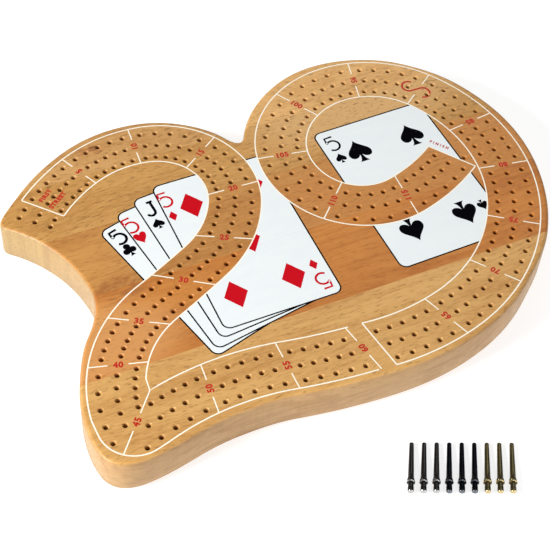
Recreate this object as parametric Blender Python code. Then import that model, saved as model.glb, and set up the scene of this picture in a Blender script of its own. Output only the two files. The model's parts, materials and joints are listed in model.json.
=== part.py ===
"""Cribbage board in the shape of the number 29, with nine metal pegs.

The board is glued up from hardwood staves, cut to the outline of the two digits and drilled with
three lanes of blind peg holes. A pocket in the underside keeps the pegs, behind a metal cover that
swivels on one screw. Lengths below are millimetres; the scene is in metres, +Z up, with the
origin under the middle of the whole set, on the table.
"""
import math

import bmesh
import bpy
from mathutils import Matrix, Vector

MM = 0.001

# ---- driving dimensions -------------------------------------------------------------------------
THICKNESS = 28.0          # of the wood
FOOT_HEIGHT = 4.0
EDGE_CHAMFER = 1.2
LANE_GAP = 11.5           # between neighbouring lanes
HOLE_RADIUS = 1.7
HOLE_DEPTH = 11.0
HOLE_SHIFT = (-0.2, -1.5)  # the drilling sits a little low of the outline
GAP = 0.3                 # between touching pieces
CUT_MARGIN = 2.0          # how far a cutter passes the face it opens
UNDERSIDE = FOOT_HEIGHT
TOP = UNDERSIDE + THICKNESS

# The centre lane, as arcs that follow each other without a corner: (radius, turn in degrees),
# left turns positive. The first street runs over the top of the 2 and down its diagonal, the
# second along its foot, and the third round the 9 and into its middle.
TWO_START = (-166.0, 64.0, 49.0)
TWO_ARCS = ((140, -24), (84, -34), (53, -104), (85, -40), (900, -3), (86, 72))
FOOT_START = (-154.0, -115.0, 19.5)
FOOT_ARCS = ((194, -30), (417, 7.5))
NINE_START = (6.0, -114.0, -5.0)
NINE_ARCS = ((168, 22), (134, 40), (121, 67), (69, 116), (60, 56), (53, 78), (151, 22))

# Each street's ticks, one every five holes: (distance along the centre lane, lean of the tick).
# The first two streets meet in a mitre at the tip of the 2, where each lane has its own distance.
TWO_TICKS = ((15, 0), (57.5, 0), (102.5, 0), (150.5, 0), (193, 2), (240, 4.5), (285, 7),
             (327, 5.5), (364, 3), (404.5, 419, 425.5))
FOOT_TICKS = ((9, -5, -15), (49, -2), (101, 2), (151.5, 3))
NINE_TICKS = ((-1, 2.5), (52, 1.5), (106, 0.7), (155.5, 0), (208, 0), (255, -1), (303, 0),
              (352, 0), (403.5, 0), (456.5, 0.5), (514, 0), (571, -3), (622, 624, 623.5))
START_ROWS = (3.0, 10.5)
FINISH_HOLE = (138.1, 10.5)

# Holes in a group of five, counted in hole pitches: the centre lane leaves room for its number.
SIDE_LANE_MARGIN = 0.65
CENTRE_LANE_MARGIN = 0.95

# Where the board's edge follows a lane: (distance along the lane, margin from the lane's centre).
EDGE_OVER_TWO = ((-1, 22.4), (15, 21.7), (40, 22.2), (85, 22.8), (130, 22.1), (157, 23.2))
EDGE_ROUND_NINE = ((442, 27.0), (395, 25.9), (340, 23.0), (315, 22.6), (285, 24.4), (240, 25.2),
                   (180, 24.2), (150, 24.2), (115, 22.2), (85, 22.8), (27, 23.0))
EDGE_UNDER_FOOT = ((134, 23.4), (105, 23.2), (60, 24.4), (22, 24.6))
EDGE_LEFT_OF_TWO = ((400, 23.2), (378, 22.7), (350, 24.4))

# The hollow left side of the 2, and the round tip below it.
HOLLOW_CENTRE = (-252.8, -12.2)
HOLLOW_RADIUS = 103.9
TIP_CENTRE = (-167.1, -118.5)
TIP_RADIUS = 18.7

# Staves, from the foot up: name and lower edge. The outline bounds the first and the last.
SEAMS = (-73.0, -10.0, 45.0, 93.0)
NOTCH_X = -5.0

# Underside.
POCKET_CENTRE = (-26.0, -42.0)
POCKET_SIZE = (64.0, 34.0)
POCKET_DEPTH = 13.0
POCKET_CORNER = 7.0
PIVOT = (-66.0, -42.0)
COVER_SIZE = (84.0, 44.0)
COVER_THICKNESS = 1.2
COVER_CORNER = 7.0
COVER_OVERHANG = 7.5      # of the cover beyond the pivot
SCREW_RADIUS = 1.75
SCREW_LENGTH = 12.0
SCREW_POINT = 3.0
SCREW_HEAD_RADIUS = 4.2
SCREW_HEAD_HEIGHT = 1.3
SCREW_HEAD_EDGE = 0.6
SLOT_WIDTH = 1.0
SLOT_DEPTH = 0.7
PILOT_DEPTH = 13.0
FOOT_RADIUS = 6.0
FOOT_EDGE = 0.5
FEET = {"foot_front_left": (-165.0, -112.0), "foot_back_left": (-160.0, 78.0),
        "foot_front_right": (125.0, -58.0), "foot_back_right": (128.0, 86.0)}

# Pegs: turned profile from the tip, (radius, height), and where the row lies on the table.
PEG_PROFILE = ((0.0, 0.0), (1.1, 0.2), (1.45, 1.0), (1.62, 10.5), (2.0, 26.7), (2.15, 26.9),
               (2.4, 27.6), (2.4, 28.4), (2.15, 28.8), (2.8, 29.3), (2.8, 29.9), (1.9, 30.2),
               (1.85, 33.0), (1.95, 33.3), (1.95, 35.9), (1.5, 36.6), (0.0, 36.7))
PEG_TIP_RING = 2
PEG_COLLAR_RING = 9
PEG_SIDES = 12
PEG_ROW_START = (-5.3, -187.7)
PEG_ROW_STEP = (7.31, -3.04)
PEG_HEADING = 60.8        # from head to tip, degrees from +X
PEG_FINISHES = ("silver", "black", "brass")
PEGS_PER_FINISH = 3


# ---- lanes --------------------------------------------------------------------------------------
class Lane:
    """A chain of arcs, read by the distance along it."""

    def __init__(self, start, arcs):
        x, y, heading = start[0], start[1], math.radians(start[2])
        self.pieces = []
        station = 0.0
        for radius, turn in arcs:
            curvature = math.copysign(1.0 / radius, turn)
            length = math.radians(abs(turn)) * radius
            self.pieces.append((station, x, y, heading, curvature))
            x, y, heading = self.advance(x, y, heading, curvature, length)
            station += length
        self.length = station

    @staticmethod
    def advance(x, y, heading, curvature, distance):
        turned = heading + curvature * distance
        x += (math.sin(turned) - math.sin(heading)) / curvature
        y -= (math.cos(turned) - math.cos(heading)) / curvature
        return x, y, turned

    def beside(self, station, offset):
        """The point at a distance along the lane, moved sideways; left is positive."""
        piece = max((p for p in self.pieces if p[0] <= station), default=self.pieces[0])
        x, y, heading = self.advance(*piece[1:], station - piece[0])
        return (x - offset * math.sin(heading), y + offset * math.cos(heading))

    def edge(self, margins, side, step=6.0):
        """Points beside the lane, on its left (1) or right (-1), through (distance, margin)."""
        points = []
        for (first, near), (last, far) in zip(margins, margins[1:]):
            count = max(1, round(abs(last - first) / step))
            for i in range(count):
                t = i / count
                eased = t * t * (3 - 2 * t)
                margin = near + (far - near) * eased
                points.append(self.beside(first + (last - first) * t, side * margin))
        points.append(self.beside(margins[-1][0], side * margins[-1][1]))
        return points


def lane_holes(lane, ticks):
    """Hole centres of the three lanes of a street, in groups of five between its ticks."""
    holes = []
    for side in (1, 0, -1):
        margin = SIDE_LANE_MARGIN if side else CENTRE_LANE_MARGIN
        offset = side * LANE_GAP
        stations = [tick[1 - side] if len(tick) == 3 else tick[0] - tick[1] * side
                    for tick in ticks]
        for near, far in zip(stations, stations[1:]):
            pitch = (far - near) / (4 + 2 * margin)
            holes += [lane.beside(near + pitch * (margin + i), offset) for i in range(5)]
    return holes


def all_holes(two, foot, nine):
    holes = lane_holes(two, TWO_TICKS)
    holes += lane_holes(foot, FOOT_TICKS)
    holes += lane_holes(nine, NINE_TICKS)
    holes += [two.beside(row, side * LANE_GAP) for row in START_ROWS for side in (1, 0, -1)]
    holes.append(FINISH_HOLE)
    return [(x + HOLE_SHIFT[0], y + HOLE_SHIFT[1]) for x, y in holes]


# ---- outline ------------------------------------------------------------------------------------
def arc_points(centre, radius, first, last, step=6.0):
    count = max(2, round(math.radians(abs(last - first)) * radius / step))
    angles = [math.radians(first + (last - first) * i / count) for i in range(count + 1)]
    return [(centre[0] + radius * math.cos(a), centre[1] + radius * math.sin(a)) for a in angles]


def blend(before, after, count=5):
    """Round off from the end of one run to the start of the next, tangent to both."""
    start, end = Vector(before[-1]), Vector(after[0])
    out = (start - Vector(before[-2])).normalized()
    back = (end - Vector(after[1])).normalized()
    across = end - start
    reach = across.cross(back) / out.cross(back)
    corner = start + out * reach
    points = []
    for i in range(1, count):
        t = i / count
        points.append(tuple(start * (1 - t) ** 2 + corner * 2 * t * (1 - t) + end * t ** 2))
    return points


def outline_points(two, foot, nine):
    """The board's outline, clockwise from the upper left tip of the 2."""
    runs = (two.edge(EDGE_OVER_TWO, 1),
            nine.edge(EDGE_ROUND_NINE, -1),
            foot.edge(EDGE_UNDER_FOOT, -1),
            arc_points(TIP_CENTRE, TIP_RADIUS, 258, 190),
            two.edge(EDGE_LEFT_OF_TWO, -1),
            arc_points(HOLLOW_CENTRE, HOLLOW_RADIUS, 4, 48.5))
    points = []
    for run, following in zip(runs, runs[1:] + runs[:1]):
        points += run
        points += blend(run, following)
    return points


def inset(points, distance):
    """Move a closed clockwise outline inwards."""
    moved = []
    for before, here, after in zip(points[-1:] + points[:-1], points, points[1:] + points[:1]):
        along = (Vector(after) - Vector(before)).normalized()
        moved.append((here[0] + along.y * distance, here[1] - along.x * distance))
    return moved


def box_of(points):
    xs = [p[0] for p in points]
    ys = [p[1] for p in points]
    return min(xs), min(ys), max(xs), max(ys)


# ---- mesh helpers -------------------------------------------------------------------------------
def loft(name, rings):
    """A closed solid through stacked rings of equal count, each a list of (x, y, z) in mm."""
    bm = bmesh.new()
    loops = [[bm.verts.new(Vector(p) * MM) for p in ring] for ring in rings]
    for low, high in zip(loops, loops[1:]):
        for i in range(len(low)):
            j = (i + 1) % len(low)
            bm.faces.new((low[i], low[j], high[j], high[i]))
    bm.faces.new(loops[0][::-1])
    bm.faces.new(loops[-1])
    return finish_mesh(name, bm)


def finish_mesh(name, bm):
    bmesh.ops.recalc_face_normals(bm, faces=bm.faces)
    mesh = bpy.data.meshes.new(name)
    bm.to_mesh(mesh)
    bm.free()
    return mesh


def flat_rings(points, levels):
    """Rings for loft: levels are (inset, z) pairs over a clockwise outline."""
    rings = []
    for distance, z in levels:
        outline = inset(points, distance) if distance else points
        rings.append([(x, y, z) for x, y in outline])
    return rings


def circle(centre, radius, sides):
    return [(centre[0] + radius * math.cos(2 * math.pi * i / sides),
             centre[1] + radius * math.sin(2 * math.pi * i / sides)) for i in range(sides)][::-1]


def rounded_box(low, high, corner, steps=4):
    """A clockwise rounded rectangle between two corners."""
    centres = ((high[0] - corner, high[1] - corner, 90), (high[0] - corner, low[1] + corner, 0),
               (low[0] + corner, low[1] + corner, -90), (low[0] + corner, high[1] - corner, 180))
    points = []
    for x, y, angle in centres:
        for i in range(steps + 1):
            a = math.radians(angle - 90 * i / steps)
            points.append((x + corner * math.cos(a), y + corner * math.sin(a)))
    return points


def prisms(name, outlines, bottom, top):
    """One mesh of separate upright prisms, used as a cutter."""
    bm = bmesh.new()
    for points in outlines:
        low = [bm.verts.new(Vector((x, y, bottom)) * MM) for x, y in points]
        high = [bm.verts.new(Vector((x, y, top)) * MM) for x, y in points]
        for i in range(len(low)):
            j = (i + 1) % len(low)
            bm.faces.new((low[i], low[j], high[j], high[i]))
        bm.faces.new(low[::-1])
        bm.faces.new(high)
    return finish_mesh(name, bm)


def turned(name, profile, sides):
    """A solid of revolution about Z from (radius, height) points; both ends lie on the axis."""
    bm = bmesh.new()
    rings = []
    for radius, height in profile:
        if radius == 0:
            rings.append([bm.verts.new((0, 0, height * MM))])
        else:
            angles = [2 * math.pi * i / sides for i in range(sides)]
            rings.append([bm.verts.new((radius * MM * math.cos(a), radius * MM * math.sin(a),
                                        height * MM)) for a in angles])
    for low, high in zip(rings, rings[1:]):
        for i in range(sides):
            j = (i + 1) % sides
            corners = [low[i % len(low)], low[j % len(low)], high[j % len(high)],
                       high[i % len(high)]]
            bm.faces.new(list(dict.fromkeys(corners)))
    mesh = finish_mesh(name, bm)
    mesh.shade_smooth()
    mesh.set_sharp_from_angle(angle=math.radians(40))
    return mesh


# ---- scene helpers ------------------------------------------------------------------------------
def material(name, colour, roughness, metallic=0.0):
    made = bpy.data.materials.new(name)
    made.use_nodes = True
    shader = made.node_tree.nodes["Principled BSDF"]
    shader.inputs["Base Color"].default_value = (*colour, 1.0)
    shader.inputs["Roughness"].default_value = roughness
    shader.inputs["Metallic"].default_value = metallic
    return made


def add(name, mesh, parent, finish=None):
    thing = bpy.data.objects.new(name, mesh)
    bpy.context.collection.objects.link(thing)
    thing.parent = parent
    if finish:
        mesh.materials.append(finish)
    return thing


def add_cutter(name, mesh, parent):
    cutter = add(name, mesh, parent)
    cutter.hide_render = True
    cutter.display_type = 'WIRE'
    return cutter


def cut(thing, cutter, operation='DIFFERENCE'):
    modifier = thing.modifiers.new(cutter.name, 'BOOLEAN')
    modifier.operation = operation
    modifier.solver = 'EXACT'
    modifier.object = cutter


# ---- pieces -------------------------------------------------------------------------------------
def stave_spans(low, high):
    """Each stave's name and its box: (x low, y low, x high, y high)."""
    left, bottom, right, top = low[0], low[1], high[0], high[1]
    half = GAP / 2
    edges = (bottom,) + SEAMS
    spans = {}
    for name, lower, upper in zip(("stave_base", "stave_lower", "stave_middle", "stave_upper"),
                                  edges, edges[1:]):
        spans[name] = (left, lower + half, right, upper - half)
    spans["stave_crown_two"] = (left, SEAMS[-1] + half, NOTCH_X, top)
    spans["stave_crown_nine"] = (NOTCH_X, SEAMS[-1] + half, right, top)
    return spans


def make_staves(points, holes, parent):
    levels = ((EDGE_CHAMFER, UNDERSIDE), (0, UNDERSIDE + EDGE_CHAMFER),
              (0, TOP - EDGE_CHAMFER), (EDGE_CHAMFER, TOP))
    blank = add_cutter("cut_outline", loft("cut_outline", flat_rings(points, levels)), parent)
    pocket_low = [POCKET_CENTRE[i] - POCKET_SIZE[i] / 2 for i in (0, 1)]
    pocket_high = [POCKET_CENTRE[i] + POCKET_SIZE[i] / 2 for i in (0, 1)]
    pocket = prisms("cut_pocket", [rounded_box(pocket_low, pocket_high, POCKET_CORNER)],
                    UNDERSIDE - CUT_MARGIN, UNDERSIDE + POCKET_DEPTH)
    pilot = prisms("cut_pilot", [circle(PIVOT, SCREW_RADIUS + GAP, 12)],
                   UNDERSIDE - CUT_MARGIN, UNDERSIDE + PILOT_DEPTH)
    box = box_of(points)
    low = [value - CUT_MARGIN for value in box[:2]]
    high = [value + CUT_MARGIN for value in box[2:]]
    wood = {"dark": material("wood_dark", (0.47, 0.24, 0.10), 0.5),
            "light": material("wood_light", (0.58, 0.36, 0.17), 0.5)}
    reach = 2 * HOLE_RADIUS
    for name, span in stave_spans(low, high).items():
        corners = [(span[0], span[1]), (span[0], span[3]), (span[2], span[3]), (span[2], span[1])]
        mesh = prisms(name, [corners], UNDERSIDE - CUT_MARGIN, TOP + CUT_MARGIN)
        tone = "dark" if name in ("stave_lower", "stave_middle") else "light"
        stave = add(name, mesh, parent, wood[tone])
        cut(stave, blank, 'INTERSECT')
        near = [h for h in holes if span[0] - reach < h[0] < span[2] + reach
                and span[1] - reach < h[1] < span[3] + reach]
        drills = prisms("cut_" + name, [circle(h, HOLE_RADIUS, 6) for h in near],
                        TOP - HOLE_DEPTH, TOP + CUT_MARGIN)
        cut(stave, add_cutter("cut_" + name, drills, parent))
        if name == "stave_lower":
            cut(stave, add_cutter("cut_pocket", pocket, parent))
            cut(stave, add_cutter("cut_pilot", pilot, parent))


def make_cover(parent):
    """The cover and its screw. The cover's origin is on its pivot."""
    steel = material("steel", (0.62, 0.62, 0.60), 0.35, 1.0)
    low = (-COVER_OVERHANG, -COVER_SIZE[1] / 2)
    high = (COVER_SIZE[0] - COVER_OVERHANG, COVER_SIZE[1] / 2)
    bottom = -GAP - COVER_THICKNESS
    plate = prisms("pocket_cover", [rounded_box(low, high, COVER_CORNER, 5)], bottom, -GAP)
    cover = add("pocket_cover", plate, parent, steel)
    cover.location = Vector((*PIVOT, UNDERSIDE)) * MM
    eye = add_cutter("cut_eye", prisms("cut_eye", [circle((0, 0), SCREW_RADIUS + GAP, 16)],
                                       bottom - CUT_MARGIN, CUT_MARGIN), cover)
    cut(cover, eye)

    head_top = bottom - GAP
    head_bottom = head_top - SCREW_HEAD_HEIGHT
    profile = ((0, head_bottom), (SCREW_HEAD_RADIUS - SCREW_HEAD_EDGE, head_bottom),
               (SCREW_HEAD_RADIUS, head_bottom + SCREW_HEAD_EDGE), (SCREW_HEAD_RADIUS, head_top),
               (SCREW_RADIUS, head_top), (SCREW_RADIUS, SCREW_LENGTH - SCREW_POINT),
               (0, SCREW_LENGTH))
    screw = add("pivot_screw", turned("pivot_screw", profile, 16), parent,
                material("screw_steel", (0.55, 0.55, 0.56), 0.3, 1.0))
    screw.location = Vector((*PIVOT, UNDERSIDE)) * MM
    reach = SCREW_HEAD_RADIUS + CUT_MARGIN
    half = SLOT_WIDTH / 2
    slot = [(-reach, -half), (-reach, half), (reach, half), (reach, -half)]
    cut(screw, add_cutter("cut_slot", prisms("cut_slot", [slot], head_bottom - CUT_MARGIN,
                                             head_bottom + SLOT_DEPTH), screw))


def make_feet(parent):
    height = FOOT_HEIGHT - GAP
    profile = ((0, 0), (FOOT_RADIUS - 2 * FOOT_EDGE, 0), (FOOT_RADIUS - FOOT_EDGE, FOOT_EDGE),
               (FOOT_RADIUS, height), (0, height))
    rubber = material("rubber", (0.03, 0.03, 0.03), 0.8)
    for name, place in FEET.items():
        foot = add(name, turned(name, profile, 20), parent, rubber)
        foot.location = Vector((*place, 0)) * MM


def peg_axis():
    """Direction from tip to head of a peg lying on its tip and its collar, so it slopes a little."""
    tip_radius, tip_height = PEG_PROFILE[PEG_TIP_RING]
    collar_radius, collar_height = PEG_PROFILE[PEG_COLLAR_RING]
    slope = math.asin((collar_radius - tip_radius) / (collar_height - tip_height))
    heading = math.radians(PEG_HEADING)
    level = math.cos(slope)
    return Vector((-math.cos(heading) * level, -math.sin(heading) * level, math.sin(slope)))


def peg_places():
    """Middle of each peg on the table."""
    count = len(PEG_FINISHES) * PEGS_PER_FINISH
    return [(PEG_ROW_START[0] + i * PEG_ROW_STEP[0], PEG_ROW_START[1] + i * PEG_ROW_STEP[1])
            for i in range(count)]


def make_pegs(parent):
    finishes = {"silver": material("peg_silver", (0.30, 0.29, 0.29), 0.25, 1.0),
                "black": material("peg_black", (0.02, 0.02, 0.03), 0.3, 1.0),
                "brass": material("peg_brass", (0.50, 0.38, 0.14), 0.3, 1.0)}
    axis = peg_axis()
    turn = Vector((0, 0, 1)).rotation_difference(axis)
    half = PEG_PROFILE[-1][1] / 2
    for i, place in enumerate(peg_places()):
        finish = PEG_FINISHES[i // PEGS_PER_FINISH]
        name = f"peg_{finish}_{i % PEGS_PER_FINISH + 1}"
        peg = add(name, turned(name, PEG_PROFILE, PEG_SIDES), parent, finishes[finish])
        peg.rotation_mode = 'QUATERNION'
        peg.rotation_quaternion = turn
        lowest = min((turn.to_matrix() @ v.co).z for v in peg.data.vertices)
        middle = Vector((*place, 0)) - Vector((axis.x, axis.y, 0)) * half
        peg.location = Vector((middle.x * MM, middle.y * MM, -lowest))


def centre_of_set(points):
    """Middle of the box round the board and the row of pegs."""
    axis = peg_axis()
    half = PEG_PROFILE[-1][1] / 2
    reach = list(points)
    for x, y in peg_places():
        for radius, height in PEG_PROFILE:
            along = height - half
            wide = radius * math.sqrt(1 - axis.x ** 2)
            deep = radius * math.sqrt(1 - axis.y ** 2)
            reach.append((x + axis.x * along - wide, y + axis.y * along - deep))
            reach.append((x + axis.x * along + wide, y + axis.y * along + deep))
    box = box_of(reach)
    return (box[0] + box[2]) / 2, (box[1] + box[3]) / 2


def main():
    for thing in list(bpy.data.objects):
        bpy.data.objects.remove(thing)
    two = Lane(TWO_START, TWO_ARCS)
    foot = Lane(FOOT_START, FOOT_ARCS)
    nine = Lane(NINE_START, NINE_ARCS)
    points = outline_points(two, foot, nine)
    middle = centre_of_set(points)
    board = bpy.data.objects.new("board_frame", None)
    bpy.context.collection.objects.link(board)
    board.location = (-middle[0] * MM, -middle[1] * MM, 0)
    make_staves(points, all_holes(two, foot, nine), board)
    make_cover(board)
    make_feet(board)
    make_pegs(board)


main()
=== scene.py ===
"""Looks of the cribbage board: lacquered hardwood staves with printed lanes and playing cards,
turned metal pegs, and the fittings underneath. Lengths below are millimetres in the board's own
plan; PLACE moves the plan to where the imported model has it."""
import json
import math

import bmesh
import bpy
import numpy as np
from mathutils import Matrix, Vector
from mathutils.geometry import delaunay_2d_cdt

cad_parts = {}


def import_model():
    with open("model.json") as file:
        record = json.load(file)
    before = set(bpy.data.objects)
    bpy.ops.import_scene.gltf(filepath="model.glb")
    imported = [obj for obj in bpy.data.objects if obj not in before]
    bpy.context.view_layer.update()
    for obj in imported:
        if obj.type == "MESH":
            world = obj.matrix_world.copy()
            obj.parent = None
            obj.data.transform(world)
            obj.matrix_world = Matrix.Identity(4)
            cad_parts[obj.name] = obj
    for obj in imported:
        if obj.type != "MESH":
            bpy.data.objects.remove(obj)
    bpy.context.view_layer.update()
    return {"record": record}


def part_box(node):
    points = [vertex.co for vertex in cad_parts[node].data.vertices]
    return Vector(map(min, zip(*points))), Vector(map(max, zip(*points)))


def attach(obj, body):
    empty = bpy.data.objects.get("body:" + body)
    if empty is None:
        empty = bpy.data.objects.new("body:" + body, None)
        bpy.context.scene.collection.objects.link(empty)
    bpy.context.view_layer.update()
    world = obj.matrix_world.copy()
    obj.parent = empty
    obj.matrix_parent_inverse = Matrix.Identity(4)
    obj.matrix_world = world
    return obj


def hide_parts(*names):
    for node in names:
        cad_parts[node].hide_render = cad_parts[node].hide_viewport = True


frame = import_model()

MM = 0.001
SLOTS = {entry["node"]: entry["material_slot"] for entry in frame["record"]["subparts"]}

# ---- the board, as in the part -----------------
LANE_GAP = 11.5
HOLE_RADIUS = 1.65        # round, where the part's hole has six sides
HOLE_DEPTH = 11.0
HOLE_SHIFT = (-0.2, -1.5)
TWO_START = (-166.0, 64.0, 49.0)
TWO_ARCS = ((140, -24), (84, -34), (53, -104), (85, -40), (900, -3), (86, 72))
FOOT_START = (-154.0, -115.0, 19.5)
FOOT_ARCS = ((194, -30), (417, 7.5))
NINE_START = (6.0, -114.0, -5.0)
NINE_ARCS = ((168, 22), (134, 40), (121, 67), (69, 116), (60, 56), (53, 78), (151, 22))
TWO_TICKS = ((15, 0), (57.5, 0), (102.5, 0), (150.5, 0), (193, 2), (240, 4.5), (285, 7),
             (327, 5.5), (364, 3), (404.5, 419, 425.5))
FOOT_TICKS = ((9, -5, -15), (49, -2), (101, 2), (151.5, 3))
NINE_TICKS = ((-1, 2.5), (52, 1.5), (106, 0.7), (155.5, 0), (208, 0), (255, -1), (303, 0),
              (352, 0), (403.5, 0), (456.5, 0.5), (514, 0), (571, -3), (622, 624, 623.5))
START_ROWS = (3.0, 10.5)
FINISH_HOLE = (138.1, 10.5)
SIDE_LANE_MARGIN = 0.65
CENTRE_LANE_MARGIN = 0.95
EDGE_OVER_TWO = ((-1, 22.4), (15, 21.7), (40, 22.2), (85, 22.8), (130, 22.1), (157, 23.2))
EDGE_ROUND_NINE = ((442, 27.0), (395, 25.9), (340, 23.0), (315, 22.6), (285, 24.4), (240, 25.2),
                   (180, 24.2), (150, 24.2), (115, 22.2), (85, 22.8), (27, 23.0))
EDGE_UNDER_FOOT = ((134, 23.4), (105, 23.2), (60, 24.4), (22, 24.6))
EDGE_LEFT_OF_TWO = ((400, 23.2), (378, 22.7), (350, 24.4))
HOLLOW_CENTRE = (-252.8, -12.2)
HOLLOW_RADIUS = 103.9
TIP_CENTRE = (-167.1, -118.5)
TIP_RADIUS = 18.7
SEAMS = (-73.0, -10.0, 45.0, 93.0)
NOTCH_X = -5.0
POCKET_CENTRE = (-26.0, -42.0)
POCKET_SIZE = (64.0, 34.0)
POCKET_DEPTH = 13.0
POCKET_CORNER = 7.0
PIVOT = (-66.0, -42.0)
STAVES = ("stave_base", "stave_lower", "stave_middle", "stave_upper", "stave_crown_two",
          "stave_crown_nine")

# ---- finer shape -------------------------------
EDGE_STEP = 2.0           # between points along the outline
ARRIS_RADIUS = 2.8
ARRIS_STEPS = 6
FOOT_ARRIS_RADIUS = 1.6
FOOT_ARRIS_STEPS = 3
HOLE_SIDES = 18
HOLE_BEVEL = 0.5
POCKET_CHAMFER = 0.6
POCKET_ROUND = 2.5        # between the pocket's walls and its floor
POCKET_ROUND_STEPS = 4
PILOT_RADIUS = 2.05       # the pivot screw's hole
PILOT_DEPTH = 13.0
GLUE_LINE = 0.01          # half the line between two staves


class Lane:
    """A chain of arcs, read by the distance along it."""

    def __init__(self, start, arcs):
        x, y, heading = start[0], start[1], math.radians(start[2])
        self.pieces = []
        station = 0.0
        for radius, turn in arcs:
            curvature = math.copysign(1.0 / radius, turn)
            length = math.radians(abs(turn)) * radius
            self.pieces.append((station, x, y, heading, curvature))
            x, y, heading = self.advance(x, y, heading, curvature, length)
            station += length

    @staticmethod
    def advance(x, y, heading, curvature, distance):
        turned = heading + curvature * distance
        x += (math.sin(turned) - math.sin(heading)) / curvature
        y -= (math.cos(turned) - math.cos(heading)) / curvature
        return x, y, turned

    def at(self, station, offset=0.0):
        """Point and heading at a distance along the lane, moved sideways; left is positive."""
        piece = max((p for p in self.pieces if p[0] <= station), default=self.pieces[0])
        x, y, heading = self.advance(*piece[1:], station - piece[0])
        return x - offset * math.sin(heading), y + offset * math.cos(heading), heading

    def beside(self, station, offset):
        return self.at(station, offset)[:2]

    def edge(self, margins, side):
        """Points beside the lane, on its left (1) or right (-1), through (distance, margin)."""
        points = []
        for (first, near), (last, far) in zip(margins, margins[1:]):
            count = max(1, round(abs(last - first) / EDGE_STEP))
            for i in range(count):
                t = i / count
                margin = near + (far - near) * t * t * (3 - 2 * t)
                points.append(self.beside(first + (last - first) * t, side * margin))
        points.append(self.beside(margins[-1][0], side * margins[-1][1]))
        return points


TWO = Lane(TWO_START, TWO_ARCS)
FOOT = Lane(FOOT_START, FOOT_ARCS)
NINE = Lane(NINE_START, NINE_ARCS)


def lane_holes(lane, ticks):
    """Hole centres of the three lanes of a street, in groups of five between its ticks."""
    holes = []
    for side in (1, 0, -1):
        margin = SIDE_LANE_MARGIN if side else CENTRE_LANE_MARGIN
        stations = [tick_station(tick, side) for tick in ticks]
        for near, far in zip(stations, stations[1:]):
            pitch = (far - near) / (4 + 2 * margin)
            holes += [lane.beside(near + pitch * (margin + i), side * LANE_GAP) for i in range(5)]
    return holes


def tick_station(tick, side):
    """Where a tick crosses a lane: side is 1 for the left lane, 0 for the centre, -1 right."""
    return tick[1 - side] if len(tick) == 3 else tick[0] - tick[1] * side


def all_holes():
    holes = lane_holes(TWO, TWO_TICKS) + lane_holes(FOOT, FOOT_TICKS)
    holes += lane_holes(NINE, NINE_TICKS)
    holes += [TWO.beside(row, side * LANE_GAP) for row in START_ROWS for side in (1, 0, -1)]
    holes.append(FINISH_HOLE)
    return [(x + HOLE_SHIFT[0], y + HOLE_SHIFT[1]) for x, y in holes]


def arc(centre, radius, first, last, step=EDGE_STEP):
    count = max(2, round(math.radians(abs(last - first)) * radius / step))
    angles = [math.radians(first + (last - first) * i / count) for i in range(count + 1)]
    return [(centre[0] + radius * math.cos(a), centre[1] + radius * math.sin(a)) for a in angles]


def blend(before, after, count=12):
    """Round off from the end of one run to the start of the next, tangent to both."""
    start, end = Vector(before[-1]), Vector(after[0])
    out = (start - Vector(before[-2])).normalized()
    back = (end - Vector(after[1])).normalized()
    across = end - start
    corner = start + out * (across.cross(back) / out.cross(back))
    points = []
    for i in range(1, count):
        t = i / count
        points.append(tuple(start * (1 - t) ** 2 + corner * 2 * t * (1 - t) + end * t ** 2))
    return points


def outline_points():
    """The board's outline, clockwise from the upper left tip of the 2."""
    runs = (TWO.edge(EDGE_OVER_TWO, 1),
            NINE.edge(EDGE_ROUND_NINE, -1),
            FOOT.edge(EDGE_UNDER_FOOT, -1),
            arc(TIP_CENTRE, TIP_RADIUS, 258, 190),
            TWO.edge(EDGE_LEFT_OF_TWO, -1),
            arc(HOLLOW_CENTRE, HOLLOW_RADIUS, 4, 48.5))
    points = []
    for run, following in zip(runs, runs[1:] + runs[:1]):
        points += run
        points += blend(run, following)
    return points


def inset(points, distance):
    """Move a closed clockwise outline inwards."""
    moved = []
    for before, here, after in zip(points[-1:] + points[:-1], points, points[1:] + points[:1]):
        along = (Vector(after) - Vector(before)).normalized()
        moved.append((here[0] + along.y * distance, here[1] - along.x * distance))
    return moved


def rounded_box(low, high, corner, steps=8):
    """A clockwise rounded rectangle between two corners."""
    centres = ((high[0] - corner, high[1] - corner, 90), (high[0] - corner, low[1] + corner, 0),
               (low[0] + corner, low[1] + corner, -90), (low[0] + corner, high[1] - corner, 180))
    points = []
    for x, y, angle in centres:
        for i in range(steps + 1):
            a = math.radians(angle - 90 * i / steps)
            points.append((x + corner * math.cos(a), y + corner * math.sin(a)))
    return points


def circle(centre, radius, sides):
    return [(centre[0] + radius * math.cos(2 * math.pi * i / sides),
             centre[1] + radius * math.sin(2 * math.pi * i / sides)) for i in range(sides)]


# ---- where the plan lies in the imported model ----
OUTLINE = outline_points()
boxes = [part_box(name) for name in STAVES]
BOARD_LOW = Vector([min(box[0][i] for box in boxes) for i in range(3)])
BOARD_HIGH = Vector([max(box[1][i] for box in boxes) for i in range(3)])
PLACE = Vector(((BOARD_LOW.x + BOARD_HIGH.x) / 2 / MM, (BOARD_LOW.y + BOARD_HIGH.y) / 2 / MM)) \
    - Vector(((min(p[0] for p in OUTLINE) + max(p[0] for p in OUTLINE)) / 2,
              (min(p[1] for p in OUTLINE) + max(p[1] for p in OUTLINE)) / 2))
UNDERSIDE = BOARD_LOW.z / MM
TOP = BOARD_HIGH.z / MM


def world(x, y, z):
    return Vector((x + PLACE.x, y + PLACE.y, z)) * MM


def add(name, data):
    """A new object in the scene."""
    made = bpy.data.objects.new(name, data)
    bpy.context.collection.objects.link(made)
    return made


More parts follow.
